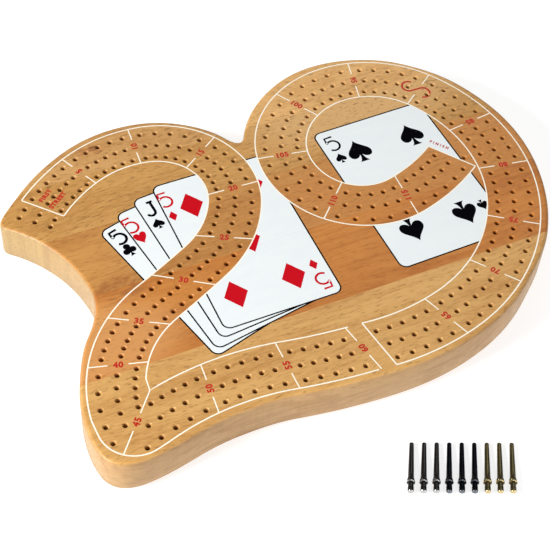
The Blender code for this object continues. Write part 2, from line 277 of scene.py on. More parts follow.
# ---- print on the top face ---------------------
# Each shape is (ink, loops), later shapes over earlier ones; a point is inside a shape where a
# line out from it crosses the loops an odd number of times.
# The last ink is the sides' wood: paler, partly as painted sheen, and darker on the foot as painted
# shade.
WOOD, WHITE, CARD, RED, BLACK, SCARLET, WALL_TONE_AND_PAINTED_LIGHT = range(7)
STRIP = 18.4              # from the centre lane to the printed edge line
NARROW_STRIP = 16.4       # the same at the start, widening over the first four groups of holes
TIP_LINE_CENTRE = (-157.5, -110.0)
TIP_LINE_RADIUS = 23.8
TIP_CORNER = (-141.0, -92.0)  # where the first two streets meet, and the far end of their mitre
TIP_MITRE = (-172.0, -129.0)
LINE = 0.9
TICK_LINE = 0.8
TICK_GAP = 6.6            # each half tick ends this far from the centre lane
NUMBER_HEIGHT = 4.8
CARD_CORNER = 6.0
CARD_LINE = 1.05


def turn(points, angle, centre=(0.0, 0.0)):
    c, s = math.cos(math.radians(angle)), math.sin(math.radians(angle))
    return [(centre[0] + x * c - y * s, centre[1] + x * s + y * c) for x, y in points]


def ribbon(path, width):
    """A band of even width along an open path."""
    left, right = [], []
    for i, here in enumerate(path):
        along = Vector(path[min(i + 1, len(path) - 1)]) - Vector(path[max(i - 1, 0)])
        along.normalize()
        left.append((here[0] - along.y * width / 2, here[1] + along.x * width / 2))
        right.append((here[0] + along.y * width / 2, here[1] - along.x * width / 2))
    return left + right[::-1]


def diamond(size):
    w, h = size[0] / 2, size[1] / 2
    return [[(0, h), (w, 0), (0, -h), (-w, 0)]]


def heart(size):
    """Two lobes over a point, from one cubic on each side."""
    w, h = size[0] / 2, size[1] / 2
    side = bezier((0, h * 0.62), (w * 0.25, h * 1.25), (w * 1.35, h * 1.05), (w, h * 0.25))
    side += bezier((w, h * 0.25), (w * 0.85, -h * 0.25), (w * 0.25, -h * 0.5), (0, -h))[1:]
    return [side + [(-x, y) for x, y in side[::-1]][1:-1]]


def spade(size):
    w, h = size[0] / 2, size[1] / 2
    side = bezier((0, h), (w * 0.25, h * 0.45), (w * 1.05, h * 0.2), (w, -h * 0.25))
    side += bezier((w, -h * 0.25), (w * 0.95, -h * 0.72), (w * 0.35, -h * 0.72),
                   (w * 0.1, -h * 0.36))[1:]
    leaf = side + [(-x, y) for x, y in side[::-1]][:-1]
    return [leaf, stem(w, h)]


def club(size):
    w, h = size[0] / 2, size[1] / 2
    lobe = w * 0.5
    return [circle((0, h - lobe), lobe, 20), circle((w - lobe, -h * 0.16), lobe, 20),
            circle((lobe - w, -h * 0.16), lobe, 20), circle((0, 0), w * 0.24, 12), stem(w, h)]


def stem(w, h):
    """The flared foot under a spade or a club."""
    side = bezier((w * 0.09, -h * 0.2), (w * 0.1, -h * 0.75), (w * 0.3, -h * 0.95),
                  (w * 0.45, -h))
    return side + [(-x, y) for x, y in side[::-1]]


def bezier(a, b, c, d, count=8):
    points = []
    for i in range(count + 1):
        t = i / count
        u = 1 - t
        points.append(tuple(u ** 3 * a[k] + 3 * u * u * t * b[k] + 3 * u * t * t * c[k]
                            + t ** 3 * d[k] for k in (0, 1)))
    return points


def glyph(strokes, height, weight):
    """Strokes drawn in a box one high and 0.64 wide, as ribbons centred on the origin."""
    return [ribbon([((x - 0.32) * height, (y - 0.5) * height) for x, y in path], weight)
            for path in strokes]


def five(height, weight):
    """The card's 5: a bar, a stem and a wide open bowl."""
    bowl = arc((0.31, 0.36), 0.335, 142, -132, 0.07)
    return glyph([[(0.50, 0.965), (0.075, 0.95), (0.055, 0.58)] + bowl], height, weight)


def jack(height, weight):
    hook = arc((0.29, 0.25), 0.23, 0, -165, 0.07)
    return glyph([[(0.52, 0.95), (0.52, 0.3)] + hook, [(0.32, 0.96), (0.66, 0.96)]], height, weight)


def letter_s():
    """A tall S, upright, from two open bowls and the line between them."""
    return [ribbon(arc((0.9, 6.5), 5.0, 0, 222, 0.8) + arc((0.1, -5.6), 5.0, 42, -165, 0.8), 1.5)]


def text(words, height, weight, spacing, centre, angle):
    """Outlines of a line of generic lettering or a number, turned about its centre."""
    curve = bpy.data.curves.new("lettering", 'FONT')
    curve.body = words
    curve.size = 1.0
    curve.resolution_u = 3
    curve.offset = weight
    curve.space_character = spacing
    made = add("lettering", curve)
    bpy.context.view_layer.update()
    mesh = bpy.data.meshes.new_from_object(made)
    bm = bmesh.new()
    bm.from_mesh(mesh)
    bmesh.ops.remove_doubles(bm, verts=bm.verts, dist=1e-5)
    low = Vector([min(v.co[i] for v in bm.verts) for i in (0, 1)])
    high = Vector([max(v.co[i] for v in bm.verts) for i in (0, 1)])
    scale = height / (high.y - low.y)
    middle = (low + high) / 2
    loops = []
    rim = dict.fromkeys(edge for edge in bm.edges if len(edge.link_faces) == 1)
    while rim:
        start, here = rim.popitem()[0].verts
        loop = [start, here]
        while True:
            following = [e for e in here.link_edges if e in rim]
            if not following:
                break
            del rim[following[0]]
            here = following[0].other_vert(here)
            if here is start:
                break
            loop.append(here)
        loops.append(turn([tuple((v.co.xy - middle) * scale) for v in loop], angle, centre))
    bm.free()
    bpy.data.objects.remove(made)
    bpy.data.curves.remove(curve)
    bpy.data.meshes.remove(mesh)
    return loops


def placed(ink, loops, centre, angle=0.0):
    return [(ink, [turn(loop, angle, centre)]) for loop in loops]


def card(corner, size, angle, marks):
    """A playing card with its upper left corner at a point, and its marks."""
    w, h = size
    rim = rounded_box((0, -h), (w, 0), CARD_CORNER)
    face = rounded_box((CARD_LINE, CARD_LINE - h), (w - CARD_LINE, -CARD_LINE),
                       CARD_CORNER - CARD_LINE)
    shapes = [(BLACK, [turn(rim, angle, corner)]), (CARD, [turn(face, angle, corner)])]
    for ink, loops, x, y, tilt in marks:
        here = turn([(x, y)], angle, corner)[0]
        shapes += placed(ink, loops, here, angle + tilt)
    return shapes


def card_shapes():
    """The fan of four cards under the 2, and the card inside the 9."""
    shapes = card((-127.8, 39.9), (85.0, 129.5), 15.4, (
        (BLACK, five(13.8, 2.0), 8.5, -11.3, 0), (BLACK, club((9.8, 11.0)), 7.9, -24.6, 0)))
    shapes += card((-112.4, 50.4), (85.0, 132.0), 9.3, (
        (SCARLET, five(14.0, 1.6), 4.7, -13.5, 0), (SCARLET, heart((8.6, 10.0)), 5.7, -26.9, 0)))
    shapes += card((-97.3, 58.6), (85.2, 132.4), 5.3, (
        (BLACK, jack(12.8, 2.0), 8.2, -12.6, 0), (BLACK, spade((8.6, 9.2)), 7.7, -26.8, 0)))
    index, pip = (SCARLET, five(13.8, 1.6)), (SCARLET, diamond((6.2, 9.0)))
    marks = [index + (5.1, -14.6, 0), pip + (5.1, -30.4, 0)]
    marks += [(SCARLET, diamond((17.0, 23.0)), x, y, 0) for x, y in
              ((20.5, -25.9), (66.5, -23.9), (44.5, -68.9), (18.3, -108.6), (59.7, -108.6))]
    marks += [index + (76.5, -119.9, 180), pip + (76.0, -104.8, 0)]
    shapes += card((-80.5, 65.4), (85.4, 133.0), 0.0, marks)
    pip, big = (BLACK, spade((8.0, 9.4))), (BLACK, spade((17.8, 21.0)))
    marks = [(BLACK, five(14.0, 1.6), 9.9, -13.6, 0), pip + (9.3, -28.4, 0)]
    marks += [big + (24.4, -27.3, 0), big + (66.7, -27.7, 0)]
    marks += [big + (23.9, -107.5, 180), big + (65.0, -108.5, 180), pip + (79.8, -107.0, 180)]
    shapes += card((45.6, 69.7), (88.6, 135.4), 1.3, marks)
    return shapes


def strip_shapes():
    """The lanes' printed edges, over the cards, with wood between them."""
    first = ((15, NARROW_STRIP), (200, STRIP))
    outer = TWO.edge(first + ((403, STRIP),), -1) + arc(TIP_LINE_CENTRE, TIP_LINE_RADIUS, 182, 288)
    outer += FOOT.edge(((4, STRIP), (154.5, STRIP)), -1)
    inner = TWO.edge(first + ((377, STRIP),), 1) + [TIP_CORNER]
    inner += FOOT.edge(((24, STRIP), (148.5, STRIP)), 1)
    left = NINE.edge(((-4.3, STRIP), (620.5, STRIP)), 1)
    right = NINE.edge(((4.8, STRIP), (622.5, STRIP)), -1)
    shapes = [(WOOD, [outer + inner[::-1]]), (WOOD, [left + right[::-1]])]
    for path in (outer, inner, [outer[0], inner[0]],
                 left, right, [left[0], right[0]], [left[-1], right[-1]]):
        shapes.append((WHITE, [ribbon(path, LINE)]))
    return shapes


def tick_end(lane, tick, side):
    """Where a tick meets the printed edge; the ticks are printed with the holes' own shift."""
    if len(tick) == 3:
        return TIP_CORNER if side > 0 else TIP_MITRE
    heading = lane.at(tick[0])[2]
    drift = HOLE_SHIFT[0] * math.cos(heading) + HOLE_SHIFT[1] * math.sin(heading)
    width = STRIP
    if lane is TWO:
        t = min(1.0, max(0.0, (tick[0] - 15) / 185))
        width = NARROW_STRIP + (STRIP - NARROW_STRIP) * t * t * (3 - 2 * t)
    return lane.beside(tick[0] - tick[1] * side * STRIP / LANE_GAP + drift, side * width)


def tick_shapes():
    """Split ticks every five holes, the numbers between their halves, and the lettering."""
    shapes = []
    number = 0
    inner_ticks = ((TWO, TWO_TICKS[1:]), (FOOT, FOOT_TICKS[1:]), (NINE, NINE_TICKS[1:-1]))
    for lane, tick in [(lane, tick) for lane, ticks in inner_ticks for tick in ticks]:
        number += 5
        left, right = tick_end(lane, tick, 1), tick_end(lane, tick, -1)
        along = (Vector(left) - Vector(right)).normalized()
        middle = (Vector(left) + Vector(right)) / 2
        for end, sign in ((left, 1), (right, -1)):
            start = tuple(middle + along * sign * TICK_GAP)
            shapes.append((WHITE, [ribbon([start, end], TICK_LINE)]))
        angle = math.degrees(math.atan2(along.y, along.x))
        if number == 90:
            shapes += placed(RED, letter_s(), (138.5, 83.3), 39.0)
        else:
            shapes.append((RED, text(str(number), NUMBER_HEIGHT, 0.05, 1.12, middle, angle)))
    for words, height, spacing, centre, angle in (("FIRST", 3.8, 1.15, (-150.2, 85.0), 39.0),
                                                  ("STREET", 3.8, 1.15, (-143.7, 78.0), 37.0),
                                                  ("FINISH", 2.5, 1.75, (127.3, 26.8), -51.6)):
        shapes.append((RED, text(words, height, 0.06, spacing, centre, angle)))
    return shapes


# ---- from outlines to a mesh -------------------
def inside(points, loops):
    """Which points lie inside the loops, by the even-odd rule."""
    result = np.zeros(len(points), bool)
    for loop in loops:
        ring = np.array(loop)
        low, high = ring.min(0), ring.max(0)
        near = np.flatnonzero(((points >= low) & (points <= high)).all(1))
        if not len(near):
            continue
        px, py = points[near, 0][:, None], points[near, 1][:, None]
        x1, y1 = ring[:, 0], ring[:, 1]
        x2, y2 = np.roll(x1, -1), np.roll(y1, -1)
        rise = np.where(y1 == y2, 1.0, y2 - y1)
        crossed = ((y1 > py) != (y2 > py)) & (px < (x2 - x1) * (py - y1) / rise + x1)
        result[near] ^= crossed.sum(1) % 2 == 1
    return result


def triangulate(points, edges):
    found = delaunay_2d_cdt([Vector(p) for p in points], edges, [], 0, 1e-4)
    verts = np.array([tuple(v) for v in found[0]])
    return verts, np.array(found[2]), found[3]


def inks_of(verts, faces, shapes):
    """The topmost shape's ink at the middle of each face."""
    middles = verts[faces].mean(1)
    inks = np.zeros(len(faces), int)
    for ink, loops in shapes:
        inks[inside(middles, loops)] = ink
    return inks


def chain(loops):
    """Points and edges of closed loops, for a triangulation."""
    points, edges = [], []
    for loop in loops:
        first = len(points)
        points += loop
        edges += [(first + i, first + (i + 1) % len(loop)) for i in range(len(loop))]
    return points, edges


def fill(bm, rings):
    """A flat face within the first ring of vertices and outside the others."""
    corners = [v for ring in rings for v in ring]
    loops = [[tuple(v.co.xy) for v in ring] for ring in rings]
    verts, faces, origins = triangulate(*chain(loops))
    for face in faces[inside(verts[faces].mean(1), loops)]:
        bm.faces.new([corners[origins[v][0]] for v in face])


def band(bm, near, far, ink=WOOD):
    """A smooth band of faces between two rings of vertices."""
    for i in range(len(near)):
        j = (i + 1) % len(near)
        face = bm.faces.new((near[i], near[j], far[j], far[i]))
        face.smooth = True
        face.material_index = ink


def print_borders(shapes):
    """Only the lines where one ink meets another, as points and edges."""
    points, edges = chain([loop for shape in shapes for loop in shape[1]])
    verts, faces, _ = triangulate(points, edges)
    inks = inks_of(verts, faces, shapes)
    sides = {}
    for face, ink in zip(faces, inks):
        for i in range(3):
            pair = tuple(sorted((face[i], face[(i + 1) % 3])))
            sides.setdefault(pair, []).append(ink)
    kept = [pair for pair, both in sides.items() if len(set((both + [WOOD])[:2])) > 1]
    used = sorted({v for pair in kept for v in pair})
    index = {v: i for i, v in enumerate(used)}
    return [tuple(verts[v]) for v in used], [(index[a], index[b]) for a, b in kept]


def make_top(bm, outline, holes, shapes):
    """The printed top face, open at every hole; returns its rim."""
    rings = [circle(h, HOLE_RADIUS + HOLE_BEVEL, HOLE_SIDES) for h in holes]
    points, edges = chain([outline] + rings)
    border_points, border_edges = print_borders(shapes)
    edges += [(a + len(points), b + len(points)) for a, b in border_edges]
    verts, faces, origins = triangulate(points + border_points, edges)
    middles = verts[faces].mean(1)
    keep = inside(middles, [outline])
    for hole in holes:
        keep &= np.hypot(*(middles - hole).T) > HOLE_RADIUS + HOLE_BEVEL * 0.9
    faces = faces[keep]
    inks = inks_of(verts, faces, shapes)
    made = {}
    for face, ink in zip(faces, inks):
        corners = []
        for v in face:
            if v not in made:
                made[v] = bm.verts.new((verts[v][0], verts[v][1], TOP))
            corners.append(made[v])
        new = bm.faces.new(corners)
        new.material_index = int(ink)
    rim = [None] * len(outline)
    for v, sources in enumerate(origins):
        for source in sources:
            if source < len(outline) and v in made:
                rim[source] = made[v]
    return rim


def drill(bm, holes):
    """Walls and cone floors of the peg holes, from the open loops of the top face."""
    open_edges = [e for e in bm.edges if len(e.link_faces) == 1]
    levels = ((HOLE_RADIUS, TOP - HOLE_BEVEL), (HOLE_RADIUS, TOP - HOLE_DEPTH))
    centres = np.array(holes)
    below = {}
    for edge in open_edges:
        middle = (edge.verts[0].co + edge.verts[1].co) / 2
        distance = np.hypot(*(centres - (middle.x, middle.y)).T)
        k = int(distance.argmin())
        if distance[k] > HOLE_RADIUS + 2 * HOLE_BEVEL:
            continue
        for v in edge.verts:
            if v not in below:
                away = (v.co.xy - Vector(holes[k])).normalized()
                below[v] = [bm.verts.new((holes[k][0] + away.x * r, holes[k][1] + away.y * r, z))
                            for r, z in levels]
        if k not in below:
            below[k] = bm.verts.new((*holes[k], TOP - HOLE_DEPTH - HOLE_RADIUS * 0.6))
        a, b = edge.verts
        rows = ((a, b), (below[a][0], below[b][0]), (below[a][1], below[b][1]))
        for (p, q), (r, s) in zip(rows, rows[1:]):
            bm.faces.new((p, q, s, r)).smooth = True
        bm.faces.new((*rows[-1], below[k])).smooth = True


def make_walls(bm, rim, outline):
    """Rounded upper arris, side wall and lower arris; returns the underside's rim. The upper
    half of the upper arris keeps the colour of the top."""
    levels = []
    for i in range(1, ARRIS_STEPS + 1):
        a = math.radians(90 * i / ARRIS_STEPS)
        levels.append((ARRIS_RADIUS * (1 - math.sin(a)), TOP - ARRIS_RADIUS * (1 - math.cos(a))))
    for i in range(FOOT_ARRIS_STEPS + 1):
        a = math.radians(90 * i / FOOT_ARRIS_STEPS)
        levels.append((FOOT_ARRIS_RADIUS * (1 - math.cos(a)),
                       UNDERSIDE + FOOT_ARRIS_RADIUS * (1 - math.sin(a))))
    above = rim
    for level, (distance, z) in enumerate(levels):
        ring = inset(outline, distance) if distance else outline
        here = [bm.verts.new((x, y, z)) for x, y in ring]
        # Below the arris's upper half, the faces take the sides' wood with its painted sheen.
        band(bm, above, here, WOOD if level < ARRIS_STEPS // 2 else WALL_TONE_AND_PAINTED_LIGHT)
        above = here
    return above


def make_underside(bm, rim):
    """The flat underside with the peg pocket and the screw's pilot hole."""
    low = [POCKET_CENTRE[i] - POCKET_SIZE[i] / 2 for i in (0, 1)]
    high = [POCKET_CENTRE[i] + POCKET_SIZE[i] / 2 for i in (0, 1)]
    wall = UNDERSIDE + POCKET_DEPTH - POCKET_ROUND
    pocket_levels = [(-POCKET_CHAMFER, UNDERSIDE), (0.0, UNDERSIDE + POCKET_CHAMFER), (0.0, wall)]
    for i in range(1, POCKET_ROUND_STEPS + 1):
        a = math.radians(90 * i / POCKET_ROUND_STEPS)
        pocket_levels.append((POCKET_ROUND * (1 - math.cos(a)), wall + POCKET_ROUND * math.sin(a)))
    pocket = []
    for shrink, z in pocket_levels:
        ring = rounded_box([v + shrink for v in low], [v - shrink for v in high],
                           POCKET_CORNER - shrink)
        pocket.append([bm.verts.new((x, y, z)) for x, y in ring])
    pilot = [[bm.verts.new((x, y, z)) for x, y in circle(PIVOT, PILOT_RADIUS, 20)]
             for z in (UNDERSIDE, UNDERSIDE + PILOT_DEPTH)]
    fill(bm, (rim, pocket[0], pilot[0]))
    for rings in (pocket, pilot):
        for near, far in zip(rings, rings[1:]):
            band(bm, near, far)
        bm.faces.new(rings[-1])


def make_board():
    """The whole board as one closed mesh, in millimetres."""
    bm = bmesh.new()
    holes = all_holes()
    shapes = card_shapes() + strip_shapes() + tick_shapes()
    rim = make_top(bm, inset(OUTLINE, ARRIS_RADIUS), holes, shapes)
    drill(bm, holes)
    make_underside(bm, make_walls(bm, rim, OUTLINE))
    bmesh.ops.recalc_face_normals(bm, faces=bm.faces)
    return bm


def slice_stave(board, planes):
    """The part of the board between planes, each (point, outward normal), closed again."""
    bm = board.copy()
    for point, normal in planes:
        geometry = bm.verts[:] + bm.edges[:] + bm.faces[:]
        cut = bmesh.ops.bisect_plane(bm, geom=geometry, dist=1e-4, plane_co=point,
                                     plane_no=normal, clear_outer=True)
        rim = [g for g in cut["geom_cut"] if isinstance(g, bmesh.types.BMEdge)]
        bmesh.ops.triangle_fill(bm, use_beauty=True, edges=rim, normal=normal)
    bmesh.ops.recalc_face_normals(bm, faces=bm.faces)
    return bm


def stave_planes():
    """The cutting planes of each stave."""
    planes = {name: [] for name in STAVES}
    for i, seam in enumerate(SEAMS):
        planes[STAVES[i]].append(((0, seam - GLUE_LINE, 0), (0, 1, 0)))
        for name in STAVES[4:] if i == 3 else STAVES[i + 1:i + 2]:
            planes[name].append(((0, seam + GLUE_LINE, 0), (0, -1, 0)))
    planes["stave_crown_two"].append(((NOTCH_X, 0, 0), (1, 0, 0)))
    planes["stave_crown_nine"].append(((NOTCH_X, 0, 0), (-1, 0, 0)))
    return planes


def finish_piece(node, ending, bm, body, materials, place=world):
    """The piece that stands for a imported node, from a mesh in millimetres moved to its place."""
    for v in bm.verts:
        v.co = place(*v.co)
    mesh = bpy.data.meshes.new(node + ending)
    bm.to_mesh(mesh)
    bm.free()
    for made in materials:
        mesh.materials.append(made)
    mesh.set_sharp_from_angle(angle=math.radians(38))
    piece = add(node + ending, mesh)
    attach(piece, body)
    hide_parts(node)


# ---- materials ---------------------------------
DULL_TONE_AND_SHEEN = (0.33, 0.29, 0.16)  # a dull tone that the rays in the grain tend towards, and that the sides are mixed towards, partly as painted sheen


class Shader:
    """A Principled material and short ways to wire textures into it."""

    def __init__(self, name):
        self.made = bpy.data.materials.new(name)
        self.made.use_nodes = True
        self.tree = self.made.node_tree
        self.main = self.tree.nodes["Principled BSDF"]

    def node(self, kind, settings=None, **inputs):
        node = self.tree.nodes.new(kind)
        for name, value in (settings or {}).items():
            setattr(node, name, value)
        for name, value in inputs.items():
            self.put(node.inputs[name.replace("_", " ")], value)
        return node

    def put(self, socket, value):
        if isinstance(value, bpy.types.NodeSocket):
            self.tree.links.new(value, socket)
        elif isinstance(value, tuple) and len(value) == 3 and socket.type == 'RGBA':
            socket.default_value = (*value, 1.0)
        else:
            socket.default_value = value

    def place(self, scale, seed=0.0, where=None):
        """Object coordinates, or other ones, stretched; seed moves to another part of them."""
        where = where or self.node("ShaderNodeTexCoord").outputs["Object"]
        return self.node("ShaderNodeMapping", Vector=where, Scale=scale,
                         Location=(seed, seed * 0.7, seed * 1.3)).outputs["Vector"]

    def noise(self, where, detail=2.0, roughness=0.5):
        return self.node("ShaderNodeTexNoise", Vector=where, Scale=1.0, Detail=detail,
                         Roughness=roughness).outputs["Fac"]

    def ramp(self, value, low, high, out_low=0.0, out_high=1.0):
        node = self.node("ShaderNodeMapRange", {"interpolation_type": 'SMOOTHSTEP'})
        for name, number in (("Value", value), ("From Min", low), ("From Max", high),
                             ("To Min", out_low), ("To Max", out_high)):
            self.put(node.inputs[name], number)
        return node.outputs["Result"]

    def maths(self, operation, a, b):
        node = self.tree.nodes.new("ShaderNodeMath")
        node.operation = operation
        self.put(node.inputs[0], a)
        self.put(node.inputs[1], b)
        return node.outputs["Value"]

    def mix(self, factor, a, b):
        node = self.node("ShaderNodeMix", {"data_type": 'RGBA'})
        sockets = {socket.identifier: socket for socket in node.inputs}
        self.put(sockets["Factor_Float"], factor)
        self.put(sockets["A_Color"], a)
        self.put(sockets["B_Color"], b)
        return next(socket for socket in node.outputs if socket.identifier == "Result_Color")

    def spot(self, centre, radii, strength):
        """A soft ellipse on the plan, in millimetres about a point in metres."""
        where = self.node("ShaderNodeTexCoord").outputs["Object"]
        scale = tuple(1.0 / (r * MM) for r in radii) + (0.0,)
        moved = self.node("ShaderNodeMapping", Vector=where, Scale=scale,
                          Location=tuple(-c * s for c, s in zip(centre, scale))).outputs["Vector"]
        length = self.node("ShaderNodeVectorMath", {"operation": 'LENGTH'})
        self.put(length.inputs[0], moved)
        return self.ramp(length.outputs["Value"], 1.0, 0.45, 0.0, strength)

    def bump(self, height, distance):
        node = self.node("ShaderNodeBump", Height=height, Distance=distance)
        self.put(self.main.inputs["Normal"], node.outputs["Normal"])

    def set(self, **values):
        for name, value in values.items():
            self.put(self.main.inputs[name.replace("_", " ")], value)
        return self.made


def wood_grain(shader, seed):
    """Layers of a wood whose grain runs along X: broad tone, mottle, streaks, pores, and the
    short strokes where the grain curls."""
    where = shader.node("ShaderNodeTexCoord").outputs["Object"]
    warp = shader.noise(shader.place((7.0, 24.0, 24.0), seed), detail=1.0)
    bend = shader.node("ShaderNodeCombineXYZ", X=0.0,
                       Y=shader.ramp(warp, 0.25, 0.75, -0.006, 0.006),
                       Z=shader.ramp(warp, 0.25, 0.75, -0.004, 0.004)).outputs["Vector"]
    bent = shader.node("ShaderNodeVectorMath", {"operation": 'ADD'})
    shader.put(bent.inputs[0], where)
    shader.put(bent.inputs[1], bend)

    def layer(scale, **kind):
        return shader.noise(shader.place(scale, seed, bent.outputs["Vector"]), **kind)

    tone = layer((8.0, 42.0, 42.0), detail=2.0)
    mottle = layer((60.0, 150.0, 150.0), detail=3.0, roughness=0.55)
    streak = layer((7.0, 340.0, 340.0), detail=3.0, roughness=0.6)
    pores = layer((170.0, 850.0, 850.0), detail=2.0, roughness=0.6)
    strokes = layer((95.0, 430.0, 430.0), detail=1.0)
    return tone, mottle, streak, pores, strokes


def wood(name, light, dark, seed, flecks, patches=(), sawn=0.0):
    """Satin lacquered wood between two tones, with coloured patches (centre, radii, colour,
    strength on the strokes and share of it between them) and upright marks where it is sawn."""
    shader = Shader(name)
    tone, mottle, streak, pores, strokes = wood_grain(shader, seed)
    amount = shader.maths('ADD', shader.ramp(tone, 0.3, 0.7, -0.1, 0.6),
                          shader.ramp(streak, 0.32, 0.72, -0.15, 0.4))
    amount = shader.maths('ADD', amount, shader.ramp(mottle, 0.3, 0.7, -0.12, 0.22))
    if sawn:
        upright = shader.noise(shader.place((330.0, 330.0, 11.0), seed), detail=4.0, roughness=0.7)
        amount = shader.maths('ADD', amount, shader.ramp(upright, 0.3, 0.7, -sawn, sawn))
    colour = shader.mix(amount, light, dark)
    for centre, radii, patch, strength, between in patches:
        inside_patch = shader.spot(world(*centre, TOP / 2), radii, strength)
        share = shader.maths('MULTIPLY', inside_patch, shader.ramp(strokes, 0.46, 0.54, between, 1.0))
        colour = shader.mix(share, colour, patch)
    fleck = shader.ramp(pores, 0.56, 0.68, 0.0, flecks)
    colour = shader.mix(fleck, colour, tuple(c * 0.5 for c in dark))
    shine = shader.ramp(pores, 0.33, 0.46, flecks, 0.0)
    colour = shader.mix(shine, colour, tuple(c * 0.95 + p * 0.15 for c, p in zip(light, DULL_TONE_AND_SHEEN)))
    height = shader.maths('SUBTRACT', shader.maths('MULTIPLY', streak, 0.3), fleck)
    shader.bump(height, 0.00008)
    return shader.set(Base_Color=colour, Roughness=shader.ramp(streak, 0.3, 0.7, 0.36, 0.48),
                      Specular_IOR_Level=0.25, Coat_Weight=0.08, Coat_Roughness=0.3)


def ink(name, colour, worn, roughness, gloss=0.25):
    """Printed ink: nearly even, with the grain showing through a little."""
    shader = Shader(name)
    tone, mottle, streak, pores, _ = wood_grain(shader, 3.0)
    speck = shader.ramp(pores, 0.62, 0.76, 0.0, 0.5)
    cloud = shader.ramp(mottle, 0.3, 0.75, 0.0, 0.35)
    shade = shader.mix(shader.maths('MAXIMUM', speck, cloud), colour, worn)
    shader.bump(shader.maths('SUBTRACT', shader.maths('MULTIPLY', streak, 0.3), speck), 0.00005)
    rough = shader.ramp(tone, 0.3, 0.7, roughness, roughness + 0.1)
    return shader.set(Base_Color=shade, Roughness=rough, Specular_IOR_Level=gloss)


def metal(name, base, worn, roughness, stretch):
    """Metal with fine lines along the stretched directions and a few dull marks."""
    shader = Shader(name)
    lines = shader.noise(shader.place(stretch, 2.0), detail=3.0, roughness=0.7)
    marks = shader.noise(shader.place((260.0, 260.0, 260.0), 6.0), detail=4.0, roughness=0.6)
    dull = shader.ramp(marks, 0.5, 0.8, 0.0, 0.5)
    rough = shader.maths('ADD', shader.ramp(lines, 0.25, 0.75, roughness, roughness + 0.12),
                         shader.maths('MULTIPLY', dull, 0.15))
    shader.bump(shader.maths('ADD', shader.maths('MULTIPLY', lines, 0.4), dull), 0.00002)
    return shader.set(Base_Color=shader.mix(dull, base, worn), Roughness=rough, Metallic=1.0)


def rubber(name):
    shader = Shader(name)
    grain = shader.noise(shader.place((1800.0, 1800.0, 1800.0)), detail=2.0)
    dust = shader.ramp(shader.noise(shader.place((120.0, 120.0, 120.0), 4.0), detail=3.0),
                       0.45, 0.8, 0.0, 0.4)
    shader.bump(grain, 0.00004)
    return shader.set(Base_Color=shader.mix(dust, (0.022, 0.022, 0.024), (0.07, 0.068, 0.065)),
                      Roughness=shader.ramp(grain, 0.3, 0.7, 0.62, 0.8))


# How far the sides' colours are mixed towards the dull tone: partly the sawn grain's own duller tone,
# partly painted sheen.
WALL_DULLING_AND_SHEEN = 0.5
SAWN = 0.6  # strength of the upright marks on a sawn side
FOOT_WALL_WITH_PAINTED_SHADE = ((0.475, 0.28, 0.115), (0.355, 0.19, 0.072), 0.12)  # light and dark of the foot's sides, darker than its top as painted shade, and SAWN along the foot
CURL = ((-131.0, -11.0), (25.0, 14.0), (0.34, 0.12, 0.028), 0.85, 0.15)
KNOT = ((-104.5, 115.5), (5.0, 3.2), (0.20, 0.055, 0.014), 0.95, 0.6)
KNOT_TAIL = ((-108.0, 114.0), (15.0, 6.0), (0.40, 0.15, 0.045), 0.7, 0.3)
PALE_END = ((90.0, 88.0), (110.0, 45.0), (0.66, 0.40, 0.165), 0.7, 1.0)
RED_END = ((110.0, 12.0), (170.0, 48.0), (0.50, 0.20, 0.045), 0.85, 1.0)
YELLOW_END = ((-160.0, -48.0), (75.0, 42.0), (0.60, 0.29, 0.095), 0.75, 1.0)
# Light tone, dark tone, place in the grain and strength of the flecks of each stave, then its
# patches: where the grain curls beside the 2, a knot by the upper edge, ends of another tone.
WOODS = {"stave_base": ((0.60, 0.335, 0.107), (0.47, 0.23, 0.063), 1.3, 0.5, ()),
         "stave_lower": ((0.52, 0.195, 0.035), (0.38, 0.12, 0.018), 5.1, 0.3, (YELLOW_END, CURL)),
         "stave_middle": ((0.50, 0.235, 0.06), (0.38, 0.155, 0.034), 9.7, 0.48, (RED_END, CURL)),
         "stave_upper": ((0.53, 0.275, 0.078), (0.42, 0.20, 0.05), 14.2, 0.65, (PALE_END,)),
         "stave_crown_two": ((0.56, 0.305, 0.105), (0.44, 0.215, 0.065), 20.9, 0.65, (KNOT_TAIL, KNOT)),
         "stave_crown_nine": ((0.70, 0.40, 0.148), (0.55, 0.29, 0.092), 27.4, 0.65, ())}


def build_staves():
    inks = [ink("ink_white", (0.90, 0.86, 0.74), (0.80, 0.68, 0.50), 0.35),
            ink("ink_card", (0.75, 0.785, 0.79), (0.70, 0.75, 0.77), 0.35),
            ink("ink_red", (0.44, 0.013, 0.006), (0.42, 0.045, 0.014), 0.4),
            ink("ink_black", (0.002, 0.002, 0.003), (0.004, 0.004, 0.005), 0.5, 0.0),
            ink("ink_scarlet", (0.52, 0.002, 0.009), (0.48, 0.005, 0.012), 0.4, 0.05)]
    board = make_board()
    for name, planes in stave_planes().items():
        light, dark, seed, flecks, patches = WOODS[name]
        # The sides' copy of each wood is mixed towards the dull tone: partly the sawn grain, partly
        # painted sheen.
        side_light, side_dark = [tuple(c + (p - c) * WALL_DULLING_AND_SHEEN for c, p in zip(tone, DULL_TONE_AND_SHEEN))
                                 for tone in (light, dark)]
        sawn = SAWN
        # The foot's sides get darker colours: painted shade.
        if name == "stave_base":
            side_light, side_dark, sawn = FOOT_WALL_WITH_PAINTED_SHADE
        materials = [wood("wood_" + name, light, dark, seed, flecks, patches)] + inks
        materials.append(wood("side_" + name, side_light, side_dark, seed, flecks / 2, sawn=sawn))
        finish_piece(name, "_wood", slice_stave(board, planes), "board", materials)
    board.free()


